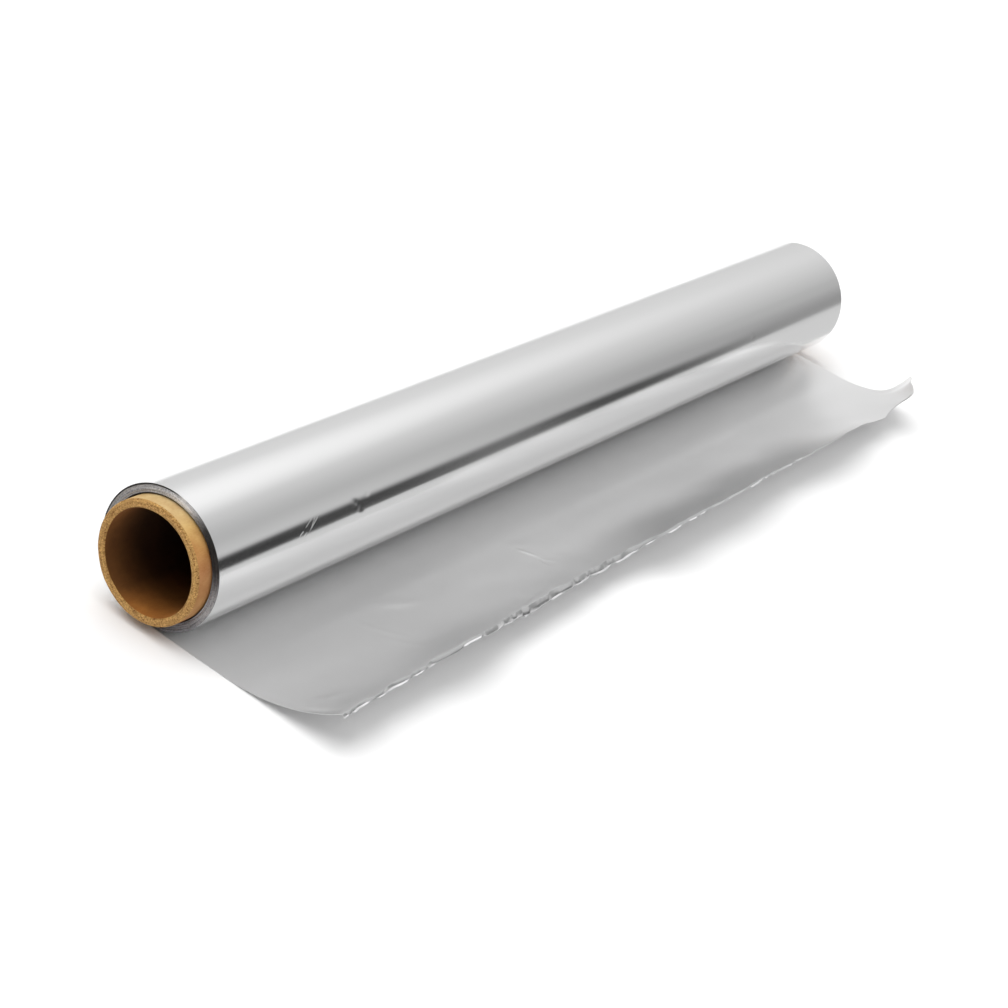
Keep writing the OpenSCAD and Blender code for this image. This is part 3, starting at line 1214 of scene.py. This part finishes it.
    def build(self, matte: Material, bright: Material, torn: Material) -> bpy.types.Object:
        """Makes the piece: the matte face and its torn lip, the bright face and four rims.

        The torn lip has its own finish as far as the turned-up corner. The four rims are the two
        sides, the root under the roll and the tear.
        """
        half = self.width / 2.0
        x = stations(-half, half, self.pitch, self.dense)[:, None]
        root, curl, out, late = (row / self.sheet_left for row in self.rows)
        share = stations(0.0, 1.0, root, (
            (curl, self.rows_late, out), (self.rows_late, 1.0, late)))[None, :]
        under, over, s = self.surface(x, share)
        uv = grid(x, s)
        lip = self.valley_rows + self.flare_rows + 1
        turned = int(np.searchsorted(x[:, 0], half - self.corner_w))
        patches = [
            Patch(over[:, :1 - lip], uv[:, :1 - lip], 0, True),
            Patch(over[:turned + 1, -lip:], uv[:turned + 1, -lip:], 2, True),
            Patch(over[turned:, -lip:], uv[turned:, -lip:], 0, True),
            Patch(under, uv, 1),
        ]
        for i, flip in ((0, True), (-1, False)):
            side_uv = np.stack([uv[i], uv[i] + (self.thickness, 0.0)])
            patches.append(Patch(np.stack([under[i], over[i]]), side_uv, 0, flip))
        for i, flip in ((0, False), (-1, True)):
            edge_uv = np.stack([uv[:, i], uv[:, i] + (0.0, self.thickness)])
            patches.append(Patch(np.stack([under[:, i], over[:, i]]), edge_uv, 0, flip))
        return make_piece("loose_sheet", patches, [matte, bright, torn], "foil")


@dataclass
class CoreTube:
    """The paperboard tube: two walls and two sawn ends with frayed inner and outer edges.

    Attributes:
        wall_rows: distances behind the end at which a wall has its rows.
        fray: depth of the tufts over the face, coarse and fine by fray_shares.
        inner_fray: depth of the slow wear at the inner edge.
        wear_depth: distance behind the end from which nothing is worn.
        wear_width: distance from the bore from which the inner edge's wear has gone.
    """

    length: float = 308.6
    bore_r: float = 12.7
    outer_r: float = 14.7
    outer_round: float = 0.7
    inner_round: float = 0.4
    round_steps: int = 240
    arc_steps: int = 6
    face_steps: int = 8
    wall_rows: tuple[float, ...] = (0.8, 2.0, 4.0, 8.0, 20.0, 60.0, 120.0, 154.3)
    fray: float = 0.18
    fray_shares: Pair = (0.6, 0.4)
    coarse: Cloud = Cloud(51, 0.9, per_turn=26, octaves=2)
    fine: Cloud = Cloud(61, 0.35, per_turn=110)
    inner_fray: float = 0.34
    slow: Cloud = Cloud(71, per_turn=6, octaves=2)
    wear_depth: float = 0.8
    wear_width: float = 0.9

    def end_profile(self) -> tuple[Array, Array]:
        """Outline of an end from the outer wall round to the bore.

        Returns:
            Distances behind the end, and radii. The outer edge is a quarter circle of the outer
            rounding, the sawn face is straight, and the inner edge is a smaller quarter circle.
        """
        quarter = np.linspace(0.0, math.pi / 2.0, self.arc_steps + 1)
        back = [self.outer_round * (1.0 - np.sin(quarter))]
        r = [self.outer_r - self.outer_round * (1.0 - np.cos(quarter))]
        face = np.linspace(self.outer_r - self.outer_round, self.bore_r + self.inner_round,
                           self.face_steps + 1)[1:-1]
        back.append(np.zeros_like(face))
        r.append(face)
        back.append(self.inner_round * (1.0 - np.cos(quarter)))
        r.append(self.bore_r + self.inner_round * (1.0 - np.sin(quarter)))
        return np.concatenate(back), np.concatenate(r)

    def wear(self, back: Array, r: Array, phi: Array, end: End) -> Array:
        """How far the sawn face lies behind its place: frayed fibres, most at the inner edge.

        Args:
            back: distance behind the end, as a column.
            r: radii, as a column.
            phi: angles in radians, as a row.
            end: which end.

        Returns:
            A depth for each pair, nothing from wear_depth behind the end.
        """
        turn = phi / TURN
        near = 1.0 - smooth(back / self.wear_depth)
        inner = 1.0 - smooth((r - self.bore_r) / self.wear_width)
        tufts = sum(much * cloud.share(r, turn, end.value)
                    for much, cloud in zip(self.fray_shares, (self.coarse, self.fine)))
        edge = self.inner_fray * inner * self.slow.share(0.0, turn, end.value)
        return near * (self.fray * tufts + edge)

    def build(self, outer: Material, inner: Material, cut: Material) -> bpy.types.Object:
        """Makes the piece: for each end its sawn face, with half of each wall."""
        phi = TURN * np.linspace(0.0, 1.0, self.round_steps + 1)[None, :]
        half = self.length / 2.0
        back, r = (part[:, None] for part in self.end_profile())
        wall = np.repeat(np.array(self.wall_rows)[:, None], phi.shape[1], axis=1)
        patches = []
        for end in End:
            flip = end is End.LEFT
            worn = back + self.wear(back, r, phi, end)
            face = on_roll(end.value * (half - worn), r, phi)
            patches.append(Patch(face, grid(phi * self.outer_r, r), 2, flip))
            for row, radius, finish, turned in ((0, self.outer_r, 0, not flip),
                                                (-1, self.bore_r, 1, flip)):
                x = end.value * (half - np.concatenate([worn[row][None, :], wall]))
                place = on_roll(x, radius, phi)
                patches.append(Patch(place, grid(x, phi * radius), finish, turned))
        return make_piece("core_tube", patches, [outer, inner, cut], "core")


@dataclass
class Studio:
    """Camera, light tent, lamps, white floor and backdrop, and a dark card and a glowing sheet of
    painted floor shade out of view.

    Attributes:
        floor_size: half of the floor's side, and the backdrop's height, in metres.
        tent: the world's even level.
        glows: what is added to it, as (azimuth, elevation, level) with the cosines off their
            middle at which they start and are full.
        lamps: name, azimuth, elevation, strength and spread of each lamp.
        card_foot: places of the card's lower edge.
        card_fade: share of the card's height from which it fades into the tent's level.
        card_stops: place along the roll, the card's levels low and high there, and the heights
            between which one turns into the other.
        shade_sheet_edge: places of the painted floor shade sheet's edge nearest the roll.
    """

    camera_place: Place = (-512.18, -259.24, 277.05)
    camera_right: Place = (0.56029, -0.78140, 0.27474)
    camera_up: Place = (0.26187, 0.48179, 0.83624)
    camera_back: Place = (-0.78581, -0.39660, 0.47457)
    lens: float = 84.3
    sensor: float = 36.0
    clip: Pair = (0.01, 100.0)
    floor_colour: str = "#FBFBFB"
    floor_size: float = 10.0
    floor_drop: float = 0.02
    floor_z: float = -17.1
    tent: float = 0.501
    glows: tuple[tuple[Place, Pair], ...] = (
        ((135.0, 44.2, 0.258), (0.403, 0.953)), ((128.3, 57.8, 0.375), (0.80, 1.0)),
        ((-90.0, 15.0, -0.44), (0.25, 0.85)))
    lamps: tuple[tuple[str, float, float, float, float], ...] = (
        ("key", -140.0, 66.0, 1.85, 60.0),
        ("fill", -20.0, 46.0, 0.7, 60.0),
    )
    card_foot: tuple[Pair, ...] = (
        (-600.0, -330.0), (48.0, -199.0), (178.0, -146.0), (184.0, -145.0), (280.0, -139.0),
        (900.0, -150.0))
    card_top: float = 150.0
    card_fade: float = 0.4
    card_stops: tuple[tuple[float, float, float, float, float], ...] = (
        (60.0, 0.04, 0.60, 36.0, 63.0), (109.0, 0.055, 0.58, 24.0, 60.0),
        (147.0, 0.22, 0.52, 20.0, 54.0), (165.0, 0.10, 0.48, 17.0, 50.0),
        (184.0, 0.045, 0.47, 17.0, 48.0), (208.0, 0.06, 0.45, 13.0, 45.0),
        (233.0, 0.10, 0.42, 8.0, 42.0), (258.0, 0.12, 0.40, 4.0, 36.0),
        (282.0, 0.26, 0.40, 4.0, 44.0), (310.0, 0.30, 0.44, 6.0, 80.0),
        (350.0, 0.32, 0.47, 10.0, 100.0))
    shade_sheet_edge: tuple[Pair, ...] = (
        (-600.0, -50.0), (48.0, -50.0), (151.0, -50.0), (151.5, -18.0), (170.0, -18.0),
        (900.0, -18.0))
    # Glow of the sheet of painted floor shade
    shade_sheet_level: float = 0.68

    def direction(self, azimuth: float, elevation: float) -> Place:
        """Unit vector towards a place in the studio: azimuth 0 is -Y and 90 is +X."""
        a, e = math.radians(azimuth), math.radians(elevation)
        return (math.sin(a) * math.cos(e), -math.cos(a) * math.cos(e), math.sin(e))

    def make_camera(self) -> None:
        """The photograph's camera, from its fitted place and axes."""
        data = bpy.data.cameras.new("camera")
        data.lens = self.lens
        data.sensor_width = self.sensor
        data.clip_start, data.clip_end = self.clip
        camera = bpy.data.objects.new("camera", data)
        axes = (self.camera_right, self.camera_up, self.camera_back)
        turn = Matrix(axes).transposed().to_4x4()
        place = Matrix.Translation([v * MM for v in self.camera_place])
        camera.matrix_world = place @ turn
        bpy.context.scene.collection.objects.link(camera)
        bpy.context.scene.camera = camera

    def make_tent(self) -> None:
        """The world: an even tent with a broad glow, a brighter panel and a dim left side.

        A glow's level is added by how closely a direction agrees with its own, as the cosine of
        the angle between them, eased between its two edges.
        """
        world = bpy.data.worlds.new("light tent")
        bpy.context.scene.world = world
        world.use_nodes = True
        tree = world.node_tree
        tree.nodes.clear()
        sight = add_node(tree, "ShaderNodeTexCoord").outputs["Generated"]
        total: Any = self.tent
        for (azimuth, elevation, level), edges in self.glows:
            facing = add_node(tree, "ShaderNodeVectorMath", {"operation": "DOT_PRODUCT"}, {
                0: sight, 1: self.direction(azimuth, elevation)}).outputs["Value"]
            total = calc(tree, "ADD", remap(tree, facing, edges, (0.0, level), soft=True), total)
        light = add_node(tree, "ShaderNodeBackground", None, {"Color": WHITE, "Strength": total})
        add_node(tree, "ShaderNodeOutputWorld", None, {"Surface": light.outputs[0]})

    def make_lamps(self) -> None:
        """Very soft lamps, for the shadows and the matte surfaces alone.

        What shiny surfaces show of the studio is the tent, so glossy rays skip the lamps.
        """
        for name, azimuth, elevation, strength, spread in self.lamps:
            data = bpy.data.lights.new(name, "SUN")
            data.energy = strength
            data.angle = math.radians(spread)
            lamp = bpy.data.objects.new(name, data)
            lamp.rotation_mode = "QUATERNION"
            towards = Vector(self.direction(azimuth, elevation))
            lamp.rotation_quaternion = towards.to_track_quat("Z", "Y")
            lamp.visible_glossy = False
            bpy.context.scene.collection.objects.link(lamp)

    def make_floor(self) -> None:
        """A white matte floor that fills the picture."""
        material, tree = new_material("white floor")
        end_material(tree, "ShaderNodeBsdfDiffuse", {"Color": srgb(self.floor_colour)})
        z = (self.floor_z - self.floor_drop) * MM
        e = self.floor_size
        self.make_stage("floor", [(-e, -e, z), (e, -e, z)], [(-e, e, z), (e, e, z)], material)

    def make_backdrop(self) -> None:
        """A white backdrop round the floor's edge, for low views. Only the camera sees it."""
        e = self.floor_size
        z = (self.floor_z - self.floor_drop) * MM
        corners = [(-e, -e), (e, -e), (e, e), (-e, e), (-e, -e)]
        backdrop = self.make_stage("backdrop", [(x, y, z) for x, y in corners],
                                   [(x, y, e) for x, y in corners],
                                   self.glow("white backdrop", 1.0))
        self.hide(backdrop)
        backdrop.visible_camera = True
        backdrop.visible_glossy = False

    def card_level(self, tree: Tree) -> Socket:
        """Level of the card at each place on it.

        Along the roll the four values of a stop turn evenly into those of the next one. Upwards
        the low level turns into the high one, and at the top into the tent's level.
        """
        place = add_node(tree, "ShaderNodeTexCoord").outputs["Object"]
        parts = add_node(tree, "ShaderNodeSeparateXYZ", None, {0: place})
        values: list[Any] = list(self.card_stops[0][1:])
        for before, after in zip(self.card_stops, self.card_stops[1:]):
            across = remap(tree, parts.outputs["X"], (before[0] * MM, after[0] * MM))
            values = [self.between(tree, across, value, goal)
                      for value, goal in zip(values, after[1:])]
        height = calc(tree, "DIVIDE", parts.outputs["Z"], MM)
        rise = remap(tree, height, (values[2], values[3]), (values[0], values[1]), soft=True)
        top = self.card_top * MM
        fade = remap(tree, parts.outputs["Z"], (self.card_fade * top, top), soft=True)
        return self.between(tree, fade, rise, self.tent)

    def between(self, tree: Tree, share: Socket, first: Any, second: Any) -> Socket:
        """Value between the first one and the second one, by a share."""
        return add_node(tree, "ShaderNodeMix", {"data_type": "FLOAT"}, {
            0: share, 2: first, 3: second}).outputs[0]

    def glow(self, name: str, level: Any = None) -> Material:
        """A surface that glows white: at the given level, or at the card's levels."""
        material, tree = new_material(name)
        strength = self.card_level(tree) if level is None else level
        end_material(tree, "ShaderNodeEmission", {"Color": WHITE, "Strength": strength})
        return material

    def make_card(self) -> None:
        """A dark card in front of the roll, which the bright foil mirrors as its dark band.

        It stands on the floor along the roll, and only glossy rays see it.
        """
        foot = [(x * MM, y * MM, self.floor_z * MM) for x, y in self.card_foot]
        top = [(x, y, self.card_top * MM) for x, y, _ in foot]
        self.hide(self.make_stage("dark_card", foot, top, self.glow("dark card")))

    def make_floor_shade_sheet(self) -> None:
        """A grey glowing sheet on the floor before the card: a painted reflection of the floor's
        shade, which the foil mirrors under its dark band.
        """
        front, back = ([(x * MM, y * MM, self.floor_z * MM) for x, y in edge]
                       for edge in (self.card_foot, self.shade_sheet_edge))
        self.hide(self.make_stage("painted_floor_shade", front, back, self.glow("painted floor shade", self.shade_sheet_level)))

    def hide(self, surface: bpy.types.Object) -> None:
        """Leaves a surface to glossy rays alone."""
        surface.visible_camera = False
        surface.visible_diffuse = False
        surface.visible_shadow = False
        surface.visible_transmission = False

    def make_stage(self, name: str, first: Sequence[Place], second: Sequence[Place],
                   material: Material) -> bpy.types.Object:
        """A surface of the studio between two rows of points, which is no part of the roll."""
        count = len(first)
        faces = [(i, i + 1, count + i + 1, count + i) for i in range(count - 1)]
        mesh = bpy.data.meshes.new(name)
        mesh.from_pydata([*first, *second], [], faces)
        mesh.materials.append(material)
        surface = bpy.data.objects.new(name, mesh)
        bpy.context.scene.collection.objects.link(surface)
        return surface

    def build(self) -> None:
        """Sets up the whole studio."""
        self.make_camera()
        self.make_tent()
        self.make_lamps()
        self.make_floor()
        self.make_backdrop()
        self.make_card()
        self.make_floor_shade_sheet()
        bpy.context.scene.view_settings.view_transform = "Standard"


def main() -> None:
    """Builds the roll and its studio and reports each piece."""
    logging.basicConfig(level=logging.INFO, format="%(message)s")
    wound = WoundFoil()
    bright = BrightFoil().build(wound.roll_r)
    matte = MatteFoil().build()
    core = CoreTube()
    # Both walls of the core carry painted light and shade by angle, and the inner ply painted shade
    # deep in the bore
    outer_board = WoundBoard().build(TURN * core.outer_r)
    inner_board = WoundBoard(
        name="paperboard, inner ply", light="#BC7B38", dark="#975C25", contrast=0.8, fibre=0.6,
        painted_shade_from=140.0, painted_shade_level=0.28, light_and_shade=INNER_PAINTED_SHADE).build(TURN * core.bore_r)
    wound.build(bright, FoilEdges().build(wound.bore_r, wound.roll_r))
    torn = MatteFoil(name="matte foil, burnished at the tear", metallic=1.0, roughness=0.3,
                     roughness_spread=0.03, pull=0.2, drawn_much=0.0, drawn_metal=0.0).build()
    LooseSheet().build(matte, bright, torn)
    core.build(outer_board, inner_board, CutBoard().build())
    Studio().build()


if __name__ == "__main__":
    main()
